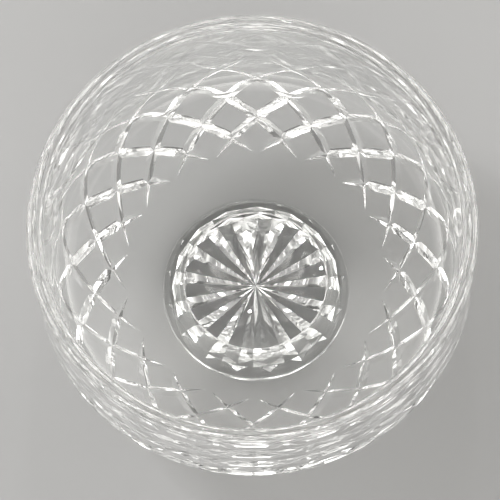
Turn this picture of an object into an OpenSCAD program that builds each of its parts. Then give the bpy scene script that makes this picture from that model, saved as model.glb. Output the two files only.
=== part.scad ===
// Footed bowl in clear cut glass: a blown bowl with a belt of crossed mitre cuts,
// standing on an applied foot with a star cut underneath.
// Millimetres, +Z up, origin at the centre of the foot's resting face.

/* [Bowl] */
// Height of the whole piece, from the resting face to the lip
height = 62; // [54:0.5:80]
// Outside diameter at the lip
rim_d = 110; // [90:1:125]
// Outside diameter at the widest place
belly_d = 112.2; // [96:0.2:128]
// Height of the widest place
belly_z = 31.7; // [29:0.1:37]
// Radius of the shoulder, where the wall turns under
shoulder_r = 7.7; // [5.5:0.1:11]
// Slope of the underside between the shoulder and the neck, in degrees
under_slope = 23.5; // [17:0.5:27]

/* [Inside] */
// Thickness of the lip
lip_t = 4; // [2:0.1:5]
// Wall thickness at the widest place
belly_t = 5; // [3.8:0.2:8]
// Radius of the turn between the wall and the underside
inner_turn_r = 8.5; // [5:0.5:12]
// Thickness of the underside, measured square to it
under_t = 4.8; // [4:0.2:7]
// Radius of the rounded floor
floor_r = 65; // [45:1:90]

/* [Mitre cuts] */
// Number of diamonds around the bowl
diamonds = 18; // [12:1:24]
// Rows in which the cuts cross one another
rows = 5; // [3:1:7]
// Radius at which the lowest cuts cross
cut_start_r = 38.25; // [34:0.25:44]
// Lean of the cuts from the upright, in degrees
cut_lean = 52.5; // [46:0.5:62]
// Depth of the cuts
cut_depth = 1.1; // [0.5:0.1:1.6]
// Full angle of the cutting wheel's edge, in degrees
cut_angle = 100; // [80:5:120]

/* [Foot] */
// Diameter of the foot
foot_d = 51; // [48:0.5:60]
// Thickness of the foot at its edge
foot_t = 3.6; // [2.4:0.1:5]
// Radius of the round along both edges of the foot
foot_edge_r = 0.8; // [0.3:0.1:1.1]
// Diameter of the neck between the bowl and the foot
neck_d = 38.4; // [30:0.2:41]
// Radius of the turn between the neck and the top of the foot
neck_turn_r = 4; // [1:0.2:5]

/* [Star] */
// Number of rays in the star under the foot
star_rays = 16; // [8:2:24]
// How far the tips of the rays stop short of the foot's edge
star_inset = 3; // [1.5:0.1:6]
// How far the ridges between the rays stop short of their tips
ridge_inset = 1; // [0.4:0.1:8]
// Depth of the rays
star_depth = 3.1; // [1:0.1:4]
// Length over which a ray runs out at its tip
tip_run = 3; // [1:0.5:8]

/* [Hidden] */
$fn = 96;
ease = 0.01;  // how far a straight side enters the round that it runs into
over = 1;     // how far a cutting shape reaches past what it cuts

rim_r = rim_d / 2;
belly_r = belly_d / 2;
neck_r = neck_d / 2;
foot_r = foot_d / 2;

// Shoulder: the centre of its arc, and the place where the underside leaves it
shoulder_x = belly_r - shoulder_r;
under_x = shoulder_x + (shoulder_r - ease) * sin(under_slope);
under_z = belly_z - (shoulder_r - ease) * cos(under_slope);
// Height at which the underside meets the neck: the seam between bowl and foot
seam_z = under_z - (under_x - neck_r) * tan(under_slope);

// The outside as a run from the neck upwards: [radius, height, slope] at a distance along it
under_len = (under_x - neck_r) / cos(under_slope);
turn_len = shoulder_r * (90 - under_slope) * PI / 180;
function on_under(s) =
    [neck_r + s * cos(under_slope), seam_z + s * sin(under_slope), under_slope];
function on_shoulder(a) =
    [shoulder_x + shoulder_r * sin(a), belly_z - shoulder_r * cos(a), a];
function on_wall(s) =
    [belly_r - s * (belly_r - rim_r) / (height - belly_z), belly_z + s, 90];
function outside_at(s) =
    s < under_len ? on_under(s) :
    s < under_len + turn_len ? on_shoulder(under_slope + (s - under_len) / shoulder_r * 180 / PI) :
    on_wall(s - under_len - turn_len);

// The cuts climb at a steady lean, so every row of crossings is half a diamond further round
half_step = 180 / diamonds;
function climb(s) = outside_at(s)[0] * half_step * PI / 180 / tan(cut_lean);
cut_start = (cut_start_r - neck_r) / cos(under_slope);
function row_run(k) =
    k < 0 ? cut_start - climb(cut_start) :
    k == 0 ? cut_start :
    let(s = row_run(k - 1)) s + climb(s);

// The cuts are as deep in every row, and they lift off the glass one row beyond
around = 2 * diamonds;
function depth_at(k) = k < 0 || k == rows ? -over / 4 : cut_depth;

// Height of the wheel's flanks over the bottom of a cut, half a diamond away from it
function flank_rise(r) = r * half_step * PI / 180 * cos(cut_lean) / tan(cut_angle / 2);

// A point at a height off the outside; p is a place from outside_at, m counts half diamonds
function off_glass(p, h, m) =
    let(r = p[0] + h * sin(p[2]), z = p[1] - h * cos(p[2]), th = half_step * m + 90)
    [r * cos(th), r * sin(th), z];

// Row k of the flanks: the crossings, and between them the middles of the diamonds
function flank_ring(k) =
    let(p = outside_at(row_run(k)))
    [for (m = [0 : around - 1])
        off_glass(p, ((k + m) % 2 == 0 ? 0 : flank_rise(p[0])) - depth_at(k), m)];
// Halfway from row k to the next: the bottom of the one cut that passes there
function bottom_ring(k) =
    let(p = outside_at((row_run(k) + row_run(k + 1)) / 2))
    [for (m = [0 : around - 1]) off_glass(p, -(depth_at(k) + depth_at(k + 1)) / 2, m + 0.5)];
function clear_ring(k) =
    let(p = outside_at(row_run(k)))
    [for (m = [0 : around - 1]) off_glass(p, flank_rise(p[0]) + over, m)];

// What the wheels take away, as one solid: its inner face is the flanks of all the cuts
module mitre_cuts() {
    rings = concat(
        [for (k = [-1 : rows]) flank_ring(k)],
        [for (k = [rows : -1 : -1]) clear_ring(k)],
        [for (k = [-1 : rows - 1]) bottom_ring(k)]
    );
    points = [for (ring = rings) each ring];
    strips = 2 * (rows + 2);
    faces = [
        for (i = [0 : strips - 1], m = [0 : around - 1])
            let(a = i * around, b = (i + 1) % strips * around, n = (m + 1) % around)
            let(c = (strips + i) * around + m)
            each i <= rows ?
                [[a + m, a + n, c], [a + n, b + n, c], [b + n, b + m, c], [b + m, a + m, c]] :
                [[a + m, a + n, b + n], [a + m, b + n, b + m]]
    ];
    polyhedron(points, faces);
}

function arc_points(x, z, r, from, to) =
    [for (a = [from : 15 : to]) [x + r * cos(a), z + r * sin(a)]];

// Outside of the bowl's blank, from the seam up and round the lip
lip_z = height - lip_t / 2;
module outside() {
    translate([shoulder_x, belly_z]) circle(shoulder_r);
    polygon([
        [0, seam_z], [neck_r, seam_z], [under_x, under_z], [shoulder_x, belly_z], [belly_r, belly_z],
        [rim_r, lip_z], [0, lip_z]
    ]);
    translate([rim_r - lip_t / 2, lip_z]) circle(lip_t / 2);
}

// Inside: the wall, a round turn, an underside parallel to the outer one, and a rounded floor
turn_x = belly_r - belly_t - inner_turn_r;
turn_z = under_z + (turn_x - under_x) * tan(under_slope) + (under_t + inner_turn_r) / cos(under_slope);
floor_mid = under_z - under_x * tan(under_slope) + (under_t + floor_r) / cos(under_slope);
module inside() {
    translate([turn_x, turn_z]) circle(inner_turn_r);
    intersection() {
        translate([0, floor_mid]) circle(floor_r);
        square([turn_x, turn_z]);
    }
    polygon([
        [0, turn_z],
        [(floor_r - ease) * sin(under_slope), floor_mid - (floor_r - ease) * cos(under_slope)],
        [turn_x + (inner_turn_r - ease) * sin(under_slope),
            turn_z - (inner_turn_r - ease) * cos(under_slope)],
        [turn_x, turn_z],
        [turn_x + inner_turn_r, turn_z],
        [rim_r - lip_t, lip_z],
        [rim_r - lip_t - over, lip_z + over],
        [0, lip_z + over]
    ]);
}

module blank() {
    rotate_extrude() difference() {
        outside();
        inside();
    }
}

module bowl() {
    color([0.86, 0.9, 0.9, 0.5])
    difference() {
        blank();
        mitre_cuts();
    }
}

// What the star's wheel takes away, as one solid: each ray is a valley of even depth
// between two ridges that rise outwards to the face, and it runs out to a pointed tip
star_r = foot_r - star_inset;
ridge_r = star_r - ridge_inset;
tip_slope = star_depth / tip_run;
module star_cuts() {
    turn = 360 / star_rays;
    middle = [0, 0, star_depth];
    low = [0, 0, -over];
    function spoke(r, z, k) = [r * cos(turn * k), r * sin(turn * k), z];
    valleys = [for (k = [0 : star_rays - 1]) spoke(star_r - tip_run, star_depth, k)];
    ridges = [for (k = [0 : star_rays - 1]) spoke(ridge_r, -ease, k + 0.5)];
    // below the face, the planes on both sides of the tips go on
    tips = [for (k = [0 : star_rays - 1]) spoke(star_r + over / tip_slope, -over, k)];
    notch_r = ridge_r * (1 + (over - ease) / (tip_slope * star_r + ease));
    notches = [for (k = [0 : star_rays - 1]) spoke(notch_r, -over, k + 0.5)];
    points = concat([middle, low], valleys, ridges, tips, notches);
    faces = [
        for (k = [0 : star_rays - 1])
            let(v = 2 + k, r = v + star_rays, t = r + star_rays, n = t + star_rays)
            let(back = k == 0 ? star_rays - 1 : -1)
            each [
                [0, r, v], [v, r, n], [v, n, t], [1, t, n],
                [0, v, r + back], [v, n + back, r + back], [v, t, n + back], [1, n + back, t]
            ]
    ];
    polyhedron(points, faces);
}

// The foot: a neck that the bowl is joined to, a hollow turn, and a disc with rounded edges
module foot_section() {
    difference() {
        polygon(concat(
            [[0, 0]],
            arc_points(foot_r - foot_edge_r, foot_edge_r, foot_edge_r, -90, 0),
            arc_points(foot_r - foot_edge_r, foot_t - foot_edge_r, foot_edge_r, 0, 90),
            [[neck_r + neck_turn_r, seam_z - neck_turn_r], [neck_r + neck_turn_r, seam_z], [0, seam_z]]
        ));
        translate([neck_r + neck_turn_r, seam_z]) circle(neck_turn_r);
    }
}

module foot() {
    color([0.8, 0.86, 0.88, 0.5])
    difference() {
        rotate_extrude() foot_section();
        star_cuts();
    }
}

bowl();
foot();
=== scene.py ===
"""A footed bowl in clear cut glass, on a pale studio floor.

The two CAD solids are replaced by fine glass surfaces: a bowl with a belt of crossed mitre
cuts, and an applied foot with a star cut. Their values are the CAD's, but for those that say
otherwise. They and the camera's are millimetres. The materials, floor and lamps are in metres.
"""
import math

import bpy
from mathutils import Matrix, Vector


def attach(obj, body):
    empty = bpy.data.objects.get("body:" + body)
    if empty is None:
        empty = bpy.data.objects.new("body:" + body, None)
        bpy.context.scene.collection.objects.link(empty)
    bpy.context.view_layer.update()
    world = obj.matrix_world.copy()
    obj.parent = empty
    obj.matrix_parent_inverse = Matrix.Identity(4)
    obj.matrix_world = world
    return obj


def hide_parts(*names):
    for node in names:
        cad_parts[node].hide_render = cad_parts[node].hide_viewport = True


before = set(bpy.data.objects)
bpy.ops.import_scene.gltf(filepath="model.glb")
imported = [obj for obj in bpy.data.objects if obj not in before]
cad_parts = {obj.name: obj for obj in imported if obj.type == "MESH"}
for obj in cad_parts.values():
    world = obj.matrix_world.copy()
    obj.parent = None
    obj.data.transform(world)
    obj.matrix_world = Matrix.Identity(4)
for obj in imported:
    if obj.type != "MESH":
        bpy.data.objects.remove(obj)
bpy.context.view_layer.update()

METRE = 1000                    # in millimetres

# ---------------------------------------------------------------- the bowl
HEIGHT = 61.99                  # the CAD's is 62
RIM_R = 55.0
BELLY_R = 56.0                  # the CAD's is 56.1, but its belt has facets, and this stays inside
BELLY_Z = 31.7
SHOULDER_R = 7.7
UNDER_SLOPE = math.radians(23.5)
LIP_T = 4.0
BELLY_T = 5.0
INNER_TURN_R = 8.5              # between the wall and the floor, inside
UNDER_T = 4.8
FLOOR_R = 65.0                  # the rounded floor, inside
# the mitre cuts
DIAMONDS = 18
ROWS = 5                        # in which the cuts cross one another
CUT_START_R = 38.25             # where the lowest cuts cross
CUT_LEAN = math.radians(52.5)
CUT_DEPTH = 1.1
CUT_ANGLE = math.radians(100)
LIFT = 0.25                     # how far off the glass the wheel is at either end of a cut
RUN_OUT = 1.0                   # rows over which a cut runs out
FIRST, LAST = -RUN_OUT, ROWS - 1 + RUN_OUT
# the foot and its star
FOOT_R = 25.5
FOOT_T = 3.6
FOOT_EDGE_R = 0.8
NECK_R = 19.2
NECK_TURN_R = 4.0
SEAM_FILLET = 0.8               # the corner where the foot was stuck on: the CAD's is sharp
STAR_RAYS = 16
STAR_R = FOOT_R - 3
RIDGE_R = STAR_R - 1
STAR_DEPTH = 3.1
TIP_RUN = 3.0                   # length over which a ray runs out to its tip
STAR_TURN = 0.5                 # in rays, as the photograph shows it: the CAD's is 0

# the meshes
STEPS = 10                      # for each half diamond
AROUND = 2 * DIAMONDS * STEPS   # columns around the bowl
FOOT_AROUND = (AROUND // (2 * STAR_RAYS) + 1) * 2 * STAR_RAYS   # a whole number a half ray
BOWL_SHARP = math.radians(17)   # edges that bend more than this aren't shaded smooth
FOOT_SHARP = math.radians(14)
LAST_RING = -89.6               # degrees: the floor's last ring, which a fan closes
ON_EDGE = 1e-6                  # a point this near to the edge of a cut is on it

# ---------------------------------------------------------------- the outside of the bowl
SHOULDER_X = BELLY_R - SHOULDER_R
UNDER_X = SHOULDER_X + SHOULDER_R * math.sin(UNDER_SLOPE)
UNDER_Z = BELLY_Z - SHOULDER_R * math.cos(UNDER_SLOPE)
SEAM_Z = UNDER_Z - (UNDER_X - NECK_R) * math.tan(UNDER_SLOPE)
UNDER_LEN = (UNDER_X - NECK_R) / math.cos(UNDER_SLOPE)
TURN_LEN = SHOULDER_R * (math.pi / 2 - UNDER_SLOPE)


def outside_at(run):
    """(radius, height, slope) of the outside, a distance run up from the seam."""
    if run < UNDER_LEN:
        c, s = math.cos(UNDER_SLOPE), math.sin(UNDER_SLOPE)
        return NECK_R + run * c, SEAM_Z + run * s, UNDER_SLOPE
    if run < UNDER_LEN + TURN_LEN:
        a = UNDER_SLOPE + (run - UNDER_LEN) / SHOULDER_R
        return SHOULDER_X + SHOULDER_R * math.sin(a), BELLY_Z - SHOULDER_R * math.cos(a), a
    up = run - UNDER_LEN - TURN_LEN
    return BELLY_R - up * (BELLY_R - RIM_R) / (HEIGHT - BELLY_Z), BELLY_Z + up, math.pi / 2


# The fillet touches the underside, and the hollow turn of the neck from within. FILLET_RUN is
# how far up the underside from the neck it touches, and FILLET_X and FILLET_Z are its middle.
FILLET_RUN = NECK_TURN_R * math.cos(UNDER_SLOPE) - math.sqrt(
    (NECK_TURN_R - SEAM_FILLET) ** 2 - (SEAM_FILLET - NECK_TURN_R * math.sin(UNDER_SLOPE)) ** 2)
FILLET_X = NECK_R + FILLET_RUN * math.cos(UNDER_SLOPE) + SEAM_FILLET * math.sin(UNDER_SLOPE)
FILLET_Z = SEAM_Z + FILLET_RUN * math.sin(UNDER_SLOPE) - SEAM_FILLET * math.cos(UNDER_SLOPE)
# where it meets the turn, as an angle round the turn's centre: the seam is there
SEAM_ANGLE = math.degrees(math.atan2(SEAM_Z - FILLET_Z, NECK_R + NECK_TURN_R - FILLET_X))

HALF_STEP = math.pi / DIAMONDS
BOWL_START = math.pi / 2        # a crossing of the lowest row lies here


def climb(run):
    """How far up the outside the cuts climb while they go half a diamond round."""
    return outside_at(run)[0] * HALF_STEP / math.tan(CUT_LEAN)


row_runs = [(CUT_START_R - NECK_R) / math.cos(UNDER_SLOPE)]
for _ in range(ROWS):
    row_runs.append(row_runs[-1] + climb(row_runs[-1]))
row_runs.insert(0, row_runs[0] - climb(row_runs[0]))


def run_at(k):
    """Distance up the outside to row k, whose slope at each row comes from its neighbours."""
    i = min(max(int(math.floor(k)) + 1, 0), len(row_runs) - 2)
    t = k + 1 - i
    a, b = row_runs[i], row_runs[i + 1]
    before = row_runs[i - 1] if i > 0 else 2 * a - b
    after = row_runs[i + 2] if i + 2 < len(row_runs) else 2 * b - a
    ma, mb = (b - before) / 2, (after - a) / 2
    return ((2 * t ** 3 - 3 * t ** 2 + 1) * a + (t ** 3 - 2 * t ** 2 + t) * ma
            + (3 * t ** 2 - 2 * t ** 3) * b + (t ** 3 - t ** 2) * mb)


def cut_depth_at(k):
    """Depth of the cuts at row k: even along the belt, lifting off at its ends."""
    beyond = max(-k, k - (ROWS - 1), 0) / RUN_OUT
    return CUT_DEPTH - (CUT_DEPTH + LIFT) * beyond


def from_cuts(k, m):
    """Half diamonds round to the nearest rising cut and to the nearest falling one."""
    return abs((m - k + 1) % 2 - 1), abs((m + k + 1) % 2 - 1)


def flank_height(k, m, radius):
    """Height of the nearest cut's flank over the glass, negative inside a cut."""
    across = min(from_cuts(k, m)) * radius * HALF_STEP * math.cos(CUT_LEAN)
    return across / math.tan(CUT_ANGLE / 2) - cut_depth_at(k)


# ---------------------------------------------------------------- mesh building
PLAIN, SEAM, CUT = 0, 1, 2      # the material slots of both pieces


class Shell:
    """A mesh in the making: points in millimetres, faces, and a material index for each face."""

    def __init__(self):
        self.points, self.faces, self.kinds = [], [], []

    def point(self, x, y, z):
        self.points.append((x, y, z))
        return len(self.points) - 1

    def face(self, corners, kind=PLAIN):
        """A face, whose corners go anticlockwise as seen from outside the glass."""
        self.faces.append(corners)
        self.kinds.append(kind)

    def ring(self, radius, z, count, start=0.0):
        """Points evenly round the axis, from the angle start on."""
        angles = [2 * math.pi / count * i + start for i in range(count)]
        return [self.point(radius * math.cos(a), radius * math.sin(a), z) for a in angles]

    def strip(self, low, high):
        """Quads between two rings, facing out where high is above low on the outside."""
        for i, (a, b) in enumerate(zip(low, high)):
            self.face([low[i - 1], a, b, high[i - 1]])

    def carry(self, ring, section, start=0.0, down=False):
        """Carries a ring along a section of (radius, height) points and returns the last ring."""
        for radius, z in section:
            after = self.ring(radius, z, len(ring), start)
            if down:
                self.strip(after, ring)
            else:
                self.strip(ring, after)
            ring = after
        return ring

    def fan(self, ring, tip):
        for i, a in enumerate(ring):
            self.face([ring[i - 1], a, tip])

    def finish(self, name, materials, sharp):
        mesh = bpy.data.meshes.new(name)
        places = [[length / METRE for length in place] for place in self.points]
        mesh.from_pydata(places, [], self.faces)
        for material in materials:
            mesh.materials.append(material)
        mesh.polygons.foreach_set("material_index", self.kinds)
        mesh.polygons.foreach_set("use_smooth", [True] * len(mesh.polygons))
        mesh.set_sharp_from_angle(angle=sharp)
        mesh.validate()
        mesh.update()
        piece = bpy.data.objects.new(name, mesh)
        bpy.context.scene.collection.objects.link(piece)
        return piece


def arc(cx, cz, radius, start, stop, steps):
    """Points on an arc of a section, from one angle to another in degrees, ends included."""
    out = []
    for i in range(steps + 1):
        a = math.radians(start + (stop - start) * i / steps)
        out.append((cx + radius * math.cos(a), cz + radius * math.sin(a)))
    return out


def line(a, b, steps):
    """Points on a straight stretch of a section, without its first."""
    return [(a[0] + (b[0] - a[0]) * i / steps, a[1] + (b[1] - a[1]) * i / steps)
            for i in range(1, steps + 1)]


def cut_belt(shell):
    """The belt of mitre cuts. Returns its lowest and highest rings.

    The mesh lines run along the cuts, and every mesh triangle that an edge of a cut
    crosses is split there, so the cuts keep crisp edges all along.
    """
    rows = round((LAST - FIRST) * STEPS)
    heights, places = [], []
    for i in range(rows + 1):
        k = FIRST + i / STEPS
        radius, z, slope = outside_at(run_at(k))
        for j in range(AROUND):
            m = j / STEPS
            places.append((radius, z, slope, HALF_STEP * m + BOWL_START))
            heights.append(flank_height(k, m, radius))

    def at(place, height):
        radius, z, slope, angle = place
        radius += height * math.sin(slope)
        return shell.point(radius * math.cos(angle), radius * math.sin(angle),
                           z - height * math.cos(slope))

    grid = [at(place, min(0, height)) for place, height in zip(places, heights)]
    splits = {}

    def split(a, b):
        """The point of mesh edge a-b where the flank meets the glass."""
        key = (min(a, b), max(a, b))
        if key not in splits:
            a, b = key
            t = heights[a] / (heights[a] - heights[b])
            steps = [to - start for start, to in zip(places[a], places[b])]
            # the short way round
            steps[3] = (steps[3] + math.pi) % (2 * math.pi) - math.pi
            splits[key] = at([start + step * t for start, step in zip(places[a], steps)], 0)
        return splits[key]

    def triangle(corners):
        signs = [0 if abs(heights[c]) < ON_EDGE else math.copysign(1, heights[c]) for c in corners]
        if max(signs) <= 0 or min(signs) >= 0:
            shell.face([grid[c] for c in corners], CUT if min(signs) < 0 else PLAIN)
            return
        while signs[0] == 0 or signs[0] in signs[1:]:
            corners = corners[1:] + corners[:1]
            signs = signs[1:] + signs[:1]
        # the first corner is alone on its side
        a, b, c = corners
        near_b = split(a, b) if signs[1] else grid[b]
        near_c = split(a, c) if signs[2] else grid[c]
        shell.face([grid[a], near_b, near_c], CUT if signs[0] < 0 else PLAIN)
        # the other two share what is left
        rest = [near_b, grid[b], grid[c], near_c]
        rest = [p for n, p in enumerate(rest) if p != rest[n - 1]]
        if len(rest) > 2:
            shell.face(rest, PLAIN if signs[0] < 0 else CUT)

    for i in range(rows):
        for j in range(AROUND):
            a, b = i * AROUND + j, i * AROUND + (j + 1) % AROUND
            c, d = a + AROUND, b + AROUND
            # the diagonal runs the way the nearer cut does
            k, m = FIRST + (i + 0.5) / STEPS, (j + 0.5) / STEPS
            rising, falling = from_cuts(k, m)
            if rising < falling:
                triangle([a, b, d])
                triangle([a, d, c])
            else:
                triangle([a, b, c])
                triangle([b, d, c])
    return grid[:AROUND], grid[-AROUND:]


def make_bowl(materials):
    shell = Shell()
    low, high = cut_belt(shell)
    # down the underside to the seam, and across it
    slope = math.degrees(UNDER_SLOPE)
    fillet = arc(FILLET_X, FILLET_Z, SEAM_FILLET, 90 + slope, 180 + SEAM_ANGLE, steps=10)
    underside = line(outside_at(run_at(FIRST))[:2], fillet[0], steps=10)
    ring = shell.carry(low, underside + fillet[1:], BOWL_START, down=True)
    shell.face(list(reversed(ring)), SEAM)
    # up the wall, round the lip, down the inside
    lip_z = HEIGHT - LIP_T / 2
    wall_top = outside_at(UNDER_LEN + TURN_LEN + lip_z - BELLY_Z)[:2]
    wall = line(outside_at(run_at(LAST))[:2], wall_top, steps=13)[:-1]
    lip = arc(RIM_R - LIP_T / 2, lip_z, LIP_T / 2, 0, 180, steps=24)
    turn_x = BELLY_R - BELLY_T - INNER_TURN_R
    rise = (UNDER_T + INNER_TURN_R) / math.cos(UNDER_SLOPE)
    turn_z = UNDER_Z + (turn_x - UNDER_X) * math.tan(UNDER_SLOPE) + rise
    inner = line(lip[-1], (turn_x + INNER_TURN_R, turn_z), steps=12)
    bend = arc(turn_x, turn_z, INNER_TURN_R, 0, slope - 90, steps=30)[1:]
    floor_mid = (UNDER_Z - UNDER_X * math.tan(UNDER_SLOPE)
                 + (UNDER_T + FLOOR_R) / math.cos(UNDER_SLOPE))
    bottom = arc(0, floor_mid, FLOOR_R, slope - 90, LAST_RING, steps=24)
    under = line(bend[-1], bottom[0], steps=8)
    ring = shell.carry(high, wall + lip + inner + bend + under + bottom[1:], BOWL_START)
    shell.fan(ring, shell.point(0, 0, floor_mid - FLOOR_R))
    return shell.finish("bowl_glass", materials, BOWL_SHARP)


def make_foot(materials):
    shell = Shell()
    edge = FOOT_EDGE_R
    neck_x = NECK_R + NECK_TURN_R
    section = arc(FOOT_R - edge, edge, edge, -90, 0, steps=12)
    section += arc(FOOT_R - edge, FOOT_T - edge, edge, 0, 90, steps=12)
    section += line(section[-1], (neck_x, SEAM_Z - NECK_TURN_R), steps=3)
    section += arc(neck_x, SEAM_Z, NECK_TURN_R, -90, SEAM_ANGLE - 180, steps=14)[1:]
    first = shell.ring(FOOT_R - edge, 0, FOOT_AROUND)
    shell.face(shell.carry(first, section[1:]), SEAM)
    # the star: valleys of even depth between ridges, running out to points
    turn = 2 * math.pi / STAR_RAYS
    middle = shell.point(0, 0, STAR_DEPTH)

    def spoke(radius, z, k):
        angle = turn * (k + STAR_TURN)
        return shell.point(radius * math.cos(angle), radius * math.sin(angle), z)

    valleys = [spoke(STAR_R - TIP_RUN, STAR_DEPTH, k) for k in range(STAR_RAYS)]
    tips = [spoke(STAR_R, 0, k) for k in range(STAR_RAYS)]
    ridges = [spoke(RIDGE_R, 0, k + 0.5) for k in range(STAR_RAYS)]
    part = FOOT_AROUND // STAR_RAYS
    for k in range(STAR_RAYS):
        n = (k + 1) % STAR_RAYS
        shell.face([middle, ridges[k], valleys[k]], CUT)
        shell.face([middle, valleys[n], ridges[k]], CUT)
        shell.face([valleys[k], ridges[k], tips[k]], CUT)
        shell.face([ridges[k], valleys[n], tips[n]], CUT)
        # the flat that the foot stands on
        rim = [first[(round((k + STAR_TURN) * part) + i) % FOOT_AROUND] for i in range(part + 1)]
        shell.face([tips[k], ridges[k], tips[n]] + list(reversed(rim)))
    return shell.finish("foot_glass", materials, FOOT_SHARP)


# ---------------------------------------------------------------- materials
IOR = 1.54                      # lead glass
CLEAR = (0.985, 0.99, 0.985)    # colourless, with a trace of green in the thick places
SMUDGED = 0.975                 # how much of the light a smudge lets through
# scales of the noise, for each metre
WAVE_SCALE, MARK_SCALE, SMUDGE_SCALE, SCUFF_SCALE = 70.0, 520.0, 34.0, 900.0
SMUDGE_NOISE = (0.48, 0.72)     # the noise at which a smudge begins, and at which it is full
SCUFF_NOISE = (0.35, 0.7)       # the same for the scuffs under the foot
SCUFF_ROUGH = (0.01, 0.08)      # their roughness, between these
SCUFF_HEIGHT = (0.00005, 0.00025)   # they fade out between these heights, in metres


class Tree:
    """The node tree of a material or the world, with the nodes that are used again and again."""

    def __init__(self, owner):
        owner.use_nodes = True
        self.nodes, self.links = owner.node_tree.nodes, owner.node_tree.links

    def place(self, kind):
        return self.nodes.new("ShaderNodeTexCoord").outputs[kind]

    def axes(self, vector):
        split = self.nodes.new("ShaderNodeSeparateXYZ")
        self.links.new(vector, split.inputs["Vector"])
        return [split.outputs[axis] for axis in "XYZ"]

    def noise(self, place, scale, detail):
        texture = self.nodes.new("ShaderNodeTexNoise")
        texture.inputs["Scale"].default_value = scale
        texture.inputs["Detail"].default_value = detail
        self.links.new(place, texture.inputs["Vector"])
        return texture.outputs["Fac"]

    def span(self, value, between, to):
        """A value carried from one range to another, held at the ends."""
        node = self.nodes.new("ShaderNodeMapRange")
        for socket, number in zip(("From Min", "From Max", "To Min", "To Max"), between + to):
            node.inputs[socket].default_value = number
        self.links.new(value, node.inputs["Value"])
        return node.outputs["Result"]

    def maths(self, operation, *values):
        node = self.nodes.new("ShaderNodeMath")
        node.operation = operation
        for socket, value in zip(node.inputs, values):
            if isinstance(value, float):
                socket.default_value = value
            else:
                self.links.new(value, socket)
        return node.outputs["Value"]


def glass(name, waves, marks, smudges, worn_foot=False):
    """Clear glass. waves and marks are the heights in metres of the slow and the fine unevenness
    of its surface, and smudges is the roughness where it has been handled."""
    material = bpy.data.materials.new(name)
    tree = Tree(material)
    shader = tree.nodes["Principled BSDF"]
    shader.inputs["Transmission Weight"].default_value = 1.0
    shader.inputs["IOR"].default_value = IOR
    place = tree.place("Object")
    # the surface: slow waves from the fire, finer ones from polishing
    normal = None
    for height, scale, detail in ((waves, WAVE_SCALE, 1), (marks, MARK_SCALE, 2)):
        bump = tree.nodes.new("ShaderNodeBump")
        bump.inputs["Strength"].default_value = 1.0
        bump.inputs["Distance"].default_value = height
        tree.links.new(tree.noise(place, scale, detail), bump.inputs["Height"])
        if normal:
            tree.links.new(normal, bump.inputs["Normal"])
        normal = bump.outputs["Normal"]
    tree.links.new(normal, shader.inputs["Normal"])
    # faint smudges
    film = tree.span(tree.noise(place, SMUDGE_SCALE, detail=4), SMUDGE_NOISE, (0, 1))
    rough = tree.maths("MULTIPLY", film, smudges)
    if worn_foot:
        # the flat ring that the foot stands on is scuffed by tables
        low = tree.span(tree.axes(place)[2], SCUFF_HEIGHT, (1, 0))
        scuffs = tree.span(tree.noise(place, SCUFF_SCALE, detail=3), SCUFF_NOISE, SCUFF_ROUGH)
        rough = tree.maths("MAXIMUM", rough, tree.maths("MULTIPLY", low, scuffs))
        film = tree.maths("MAXIMUM", film, low)
    tree.links.new(rough, shader.inputs["Roughness"])
    tint = tree.nodes.new("ShaderNodeMix")
    tint.data_type = "RGBA"
    factor, clean, dull = tint.inputs[0], tint.inputs[6], tint.inputs[7]
    clean.default_value = (*CLEAR, 1)
    dull.default_value = (*(SMUDGED * part for part in CLEAR), 1)
    tree.links.new(film, factor)
    tree.links.new(tint.outputs[2], shader.inputs["Base Color"])
    return material


def fused_seam():
    """Where two gathers are melted together there is no surface, so light passes straight on."""
    material = bpy.data.materials.new("fused_seam")
    tree = Tree(material)
    tree.nodes.remove(tree.nodes["Principled BSDF"])
    clear = tree.nodes.new("ShaderNodeBsdfTransparent")
    tree.links.new(clear.outputs["BSDF"], tree.nodes["Material Output"].inputs["Surface"])
    return material


seam = fused_seam()
wheel_cut = glass("wheel_cut_glass", waves=0.00001, marks=0.000002, smudges=0.05)
bowl_glass = glass("bowl_glass", waves=0.000008, marks=0.0000005, smudges=0.03)
bowl = make_bowl([bowl_glass, seam, wheel_cut])
foot_glass = glass("foot_glass", waves=0.000015, marks=0.000001, smudges=0.04, worn_foot=True)
foot = make_foot([foot_glass, seam, wheel_cut])
for piece, node, slot in ((bowl, "bowl", "clear_glass"), (foot, "foot", "foot_glass")):
    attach(piece, "root")
    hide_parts(node)

# ---------------------------------------------------------------- floor
FLOOR_HALF = 2.0                # half the width of the floor
FLOOR_Z = -0.0002               # the glass rests on a film of air, so the two never fuse
FLOOR_COLOUR = (0.46, 0.46, 0.46, 1)

floor_mesh = bpy.data.meshes.new("floor")
floor_mesh.from_pydata([(x * FLOOR_HALF, y * FLOOR_HALF, FLOOR_Z)
                        for x, y in ((-1, -1), (1, -1), (1, 1), (-1, 1))], [], [(0, 1, 2, 3)])
floor = bpy.data.objects.new("floor", floor_mesh)
bpy.context.scene.collection.objects.link(floor)
paper = bpy.data.materials.new("floor_paper")
paper_shader = Tree(paper).nodes["Principled BSDF"]
paper_shader.inputs["Base Color"].default_value = FLOOR_COLOUR
paper_shader.inputs["Roughness"].default_value = 0.9
paper_shader.inputs["Specular IOR Level"].default_value = 0.0
floor_mesh.materials.append(paper)

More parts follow.
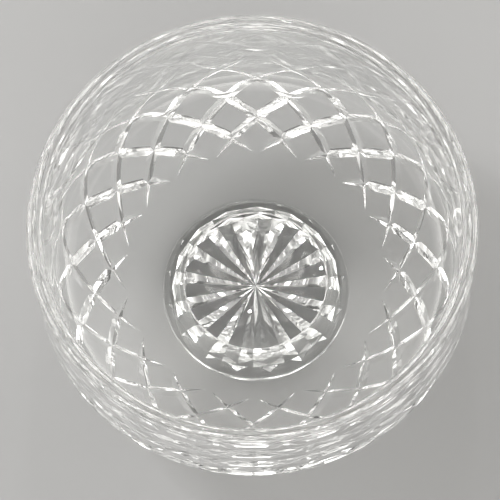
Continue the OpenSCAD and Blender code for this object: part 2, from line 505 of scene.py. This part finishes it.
# ---------------------------------------------------------------- light
# [sine of the elevation, level]: brightest just above the floor, dim overhead
LEVELS = ((0.0, 0.65), (0.04, 0.65), (0.08, 3.0), (0.2, 3.0), (0.38, 1.6), (0.48, 1.4),
          (0.62, 1.3), (0.72, 0.4), (0.9, 0.3), (0.97, 0.2))
WARMTH = (1.0, 0.985, 0.955)    # daylight with a little lamplight in it
PANELS = 3.0                    # softboxes round the bowl, with dim gaps between them
FIRST_PANEL = math.radians(150)
PANEL_SHARE = 0.85              # how much brighter a panel is, and a gap dimmer, than the level
PANEL_EDGE = 0.5                # cosine at which a panel, or a gap, reaches its full share
PANELS_COME, PANELS_GO = (0.04, 0.1), (0.4, 0.6)    # sines of the elevations of their edges

# light goes to and fro many times inside thick glass
cycles = bpy.context.scene.cycles
cycles.max_bounces = 64
cycles.transmission_bounces = 64
cycles.glossy_bounces = 48
cycles.diffuse_bounces = 6

world = bpy.data.worlds.new("studio")
bpy.context.scene.world = world
tree = Tree(world)
background = tree.nodes["Background"]
toward_x, toward_y, sine = tree.axes(tree.place("Generated"))
ramp = tree.nodes.new("ShaderNodeValToRGB")
tree.links.new(sine, ramp.inputs["Fac"])
tree.links.new(ramp.outputs["Color"], background.inputs["Color"])
stops = ramp.color_ramp.elements
stops.remove(stops[1])
for number, (position, level) in enumerate(LEVELS):
    stop = stops.new(position) if number else stops[0]
    stop.position = position
    stop.color = (*(level * part for part in WARMTH), 1)
heading = tree.maths("SUBTRACT", tree.maths("ARCTAN2", toward_y, toward_x), FIRST_PANEL)
wave = tree.maths("COSINE", tree.maths("MULTIPLY", heading, PANELS))
wave = tree.span(wave, (-PANEL_EDGE, PANEL_EDGE), (-1, 1))
share = tree.maths("MULTIPLY", tree.span(sine, PANELS_COME, (0, PANEL_SHARE)),
                   tree.span(sine, PANELS_GO, (1, 0)))
strength = tree.maths("ADD", tree.maths("MULTIPLY", wave, share), 1.0)
tree.links.new(strength, background.inputs["Strength"])


def lamp(name, place, size, power):
    """A round softbox that faces the bowl, its place and size in metres and its power in watts."""
    data = bpy.data.lights.new(name, "AREA")
    data.shape = "DISK"
    data.size = size
    data.energy = power
    light = bpy.data.objects.new(name, data)
    light.location = place
    light.rotation_euler = Vector(place).to_track_quat("Z", "Y").to_euler()
    bpy.context.scene.collection.objects.link(light)
    return light


# the key lamp casts the soft shadow, and leaves no blot on the glass
key = lamp("key", (-0.6, 0.45, 0.7), size=0.3, power=3)
key.visible_glossy = False
key.visible_transmission = False
# these two leave the small glints
lamp("lamp_left", (-0.42, 0.3, 0.85), size=0.02, power=0.3)
lamp("lamp_right", (0.1, 0.5, 0.85), size=0.02, power=0.3)

# ---------------------------------------------------------------- camera
TILT = math.radians(18.25)      # from straight down
ROLL = math.radians(-3.53)
FACING = math.radians(-95.85)   # where the camera stands round the bowl
DISTANCE = 555.23               # from a place on the bowl's axis, at the height of the lip
AIM_Z = 62.09                   # the height of that place
PAST_LEFT = math.radians(0.0468)    # how far past it the camera looks
PAST_BELOW = math.radians(0.7115)
LENS, SENSOR = 164.9, 36.0

to_camera = Vector((math.cos(FACING) * math.sin(TILT), math.sin(FACING) * math.sin(TILT),
                    math.cos(TILT)))
eye = to_camera * DISTANCE + Vector((0, 0, AIM_Z))
hint = Vector((-math.cos(FACING), -math.sin(FACING), 0))
ahead = -to_camera
right = ahead.cross(hint).normalized()
up = right.cross(ahead)
right, up = (right * math.cos(ROLL) + up * math.sin(ROLL),
             up * math.cos(ROLL) - right * math.sin(ROLL))
# the middle of the lip isn't in the middle of the picture
ahead = (ahead - right * math.tan(PAST_LEFT) - up * math.tan(PAST_BELOW)).normalized()
right = ahead.cross(up).normalized()
up = right.cross(ahead)
camera_data = bpy.data.cameras.new("camera")
camera_data.lens = LENS
camera_data.sensor_width = SENSOR
camera = bpy.data.objects.new("camera", camera_data)
camera.matrix_world = Matrix.Translation(eye / METRE) @ Matrix(
    (right, up, -ahead)).transposed().to_4x4()
bpy.context.scene.collection.objects.link(camera)
bpy.context.scene.camera = camera
bpy.context.scene.view_settings.view_transform = "Standard"
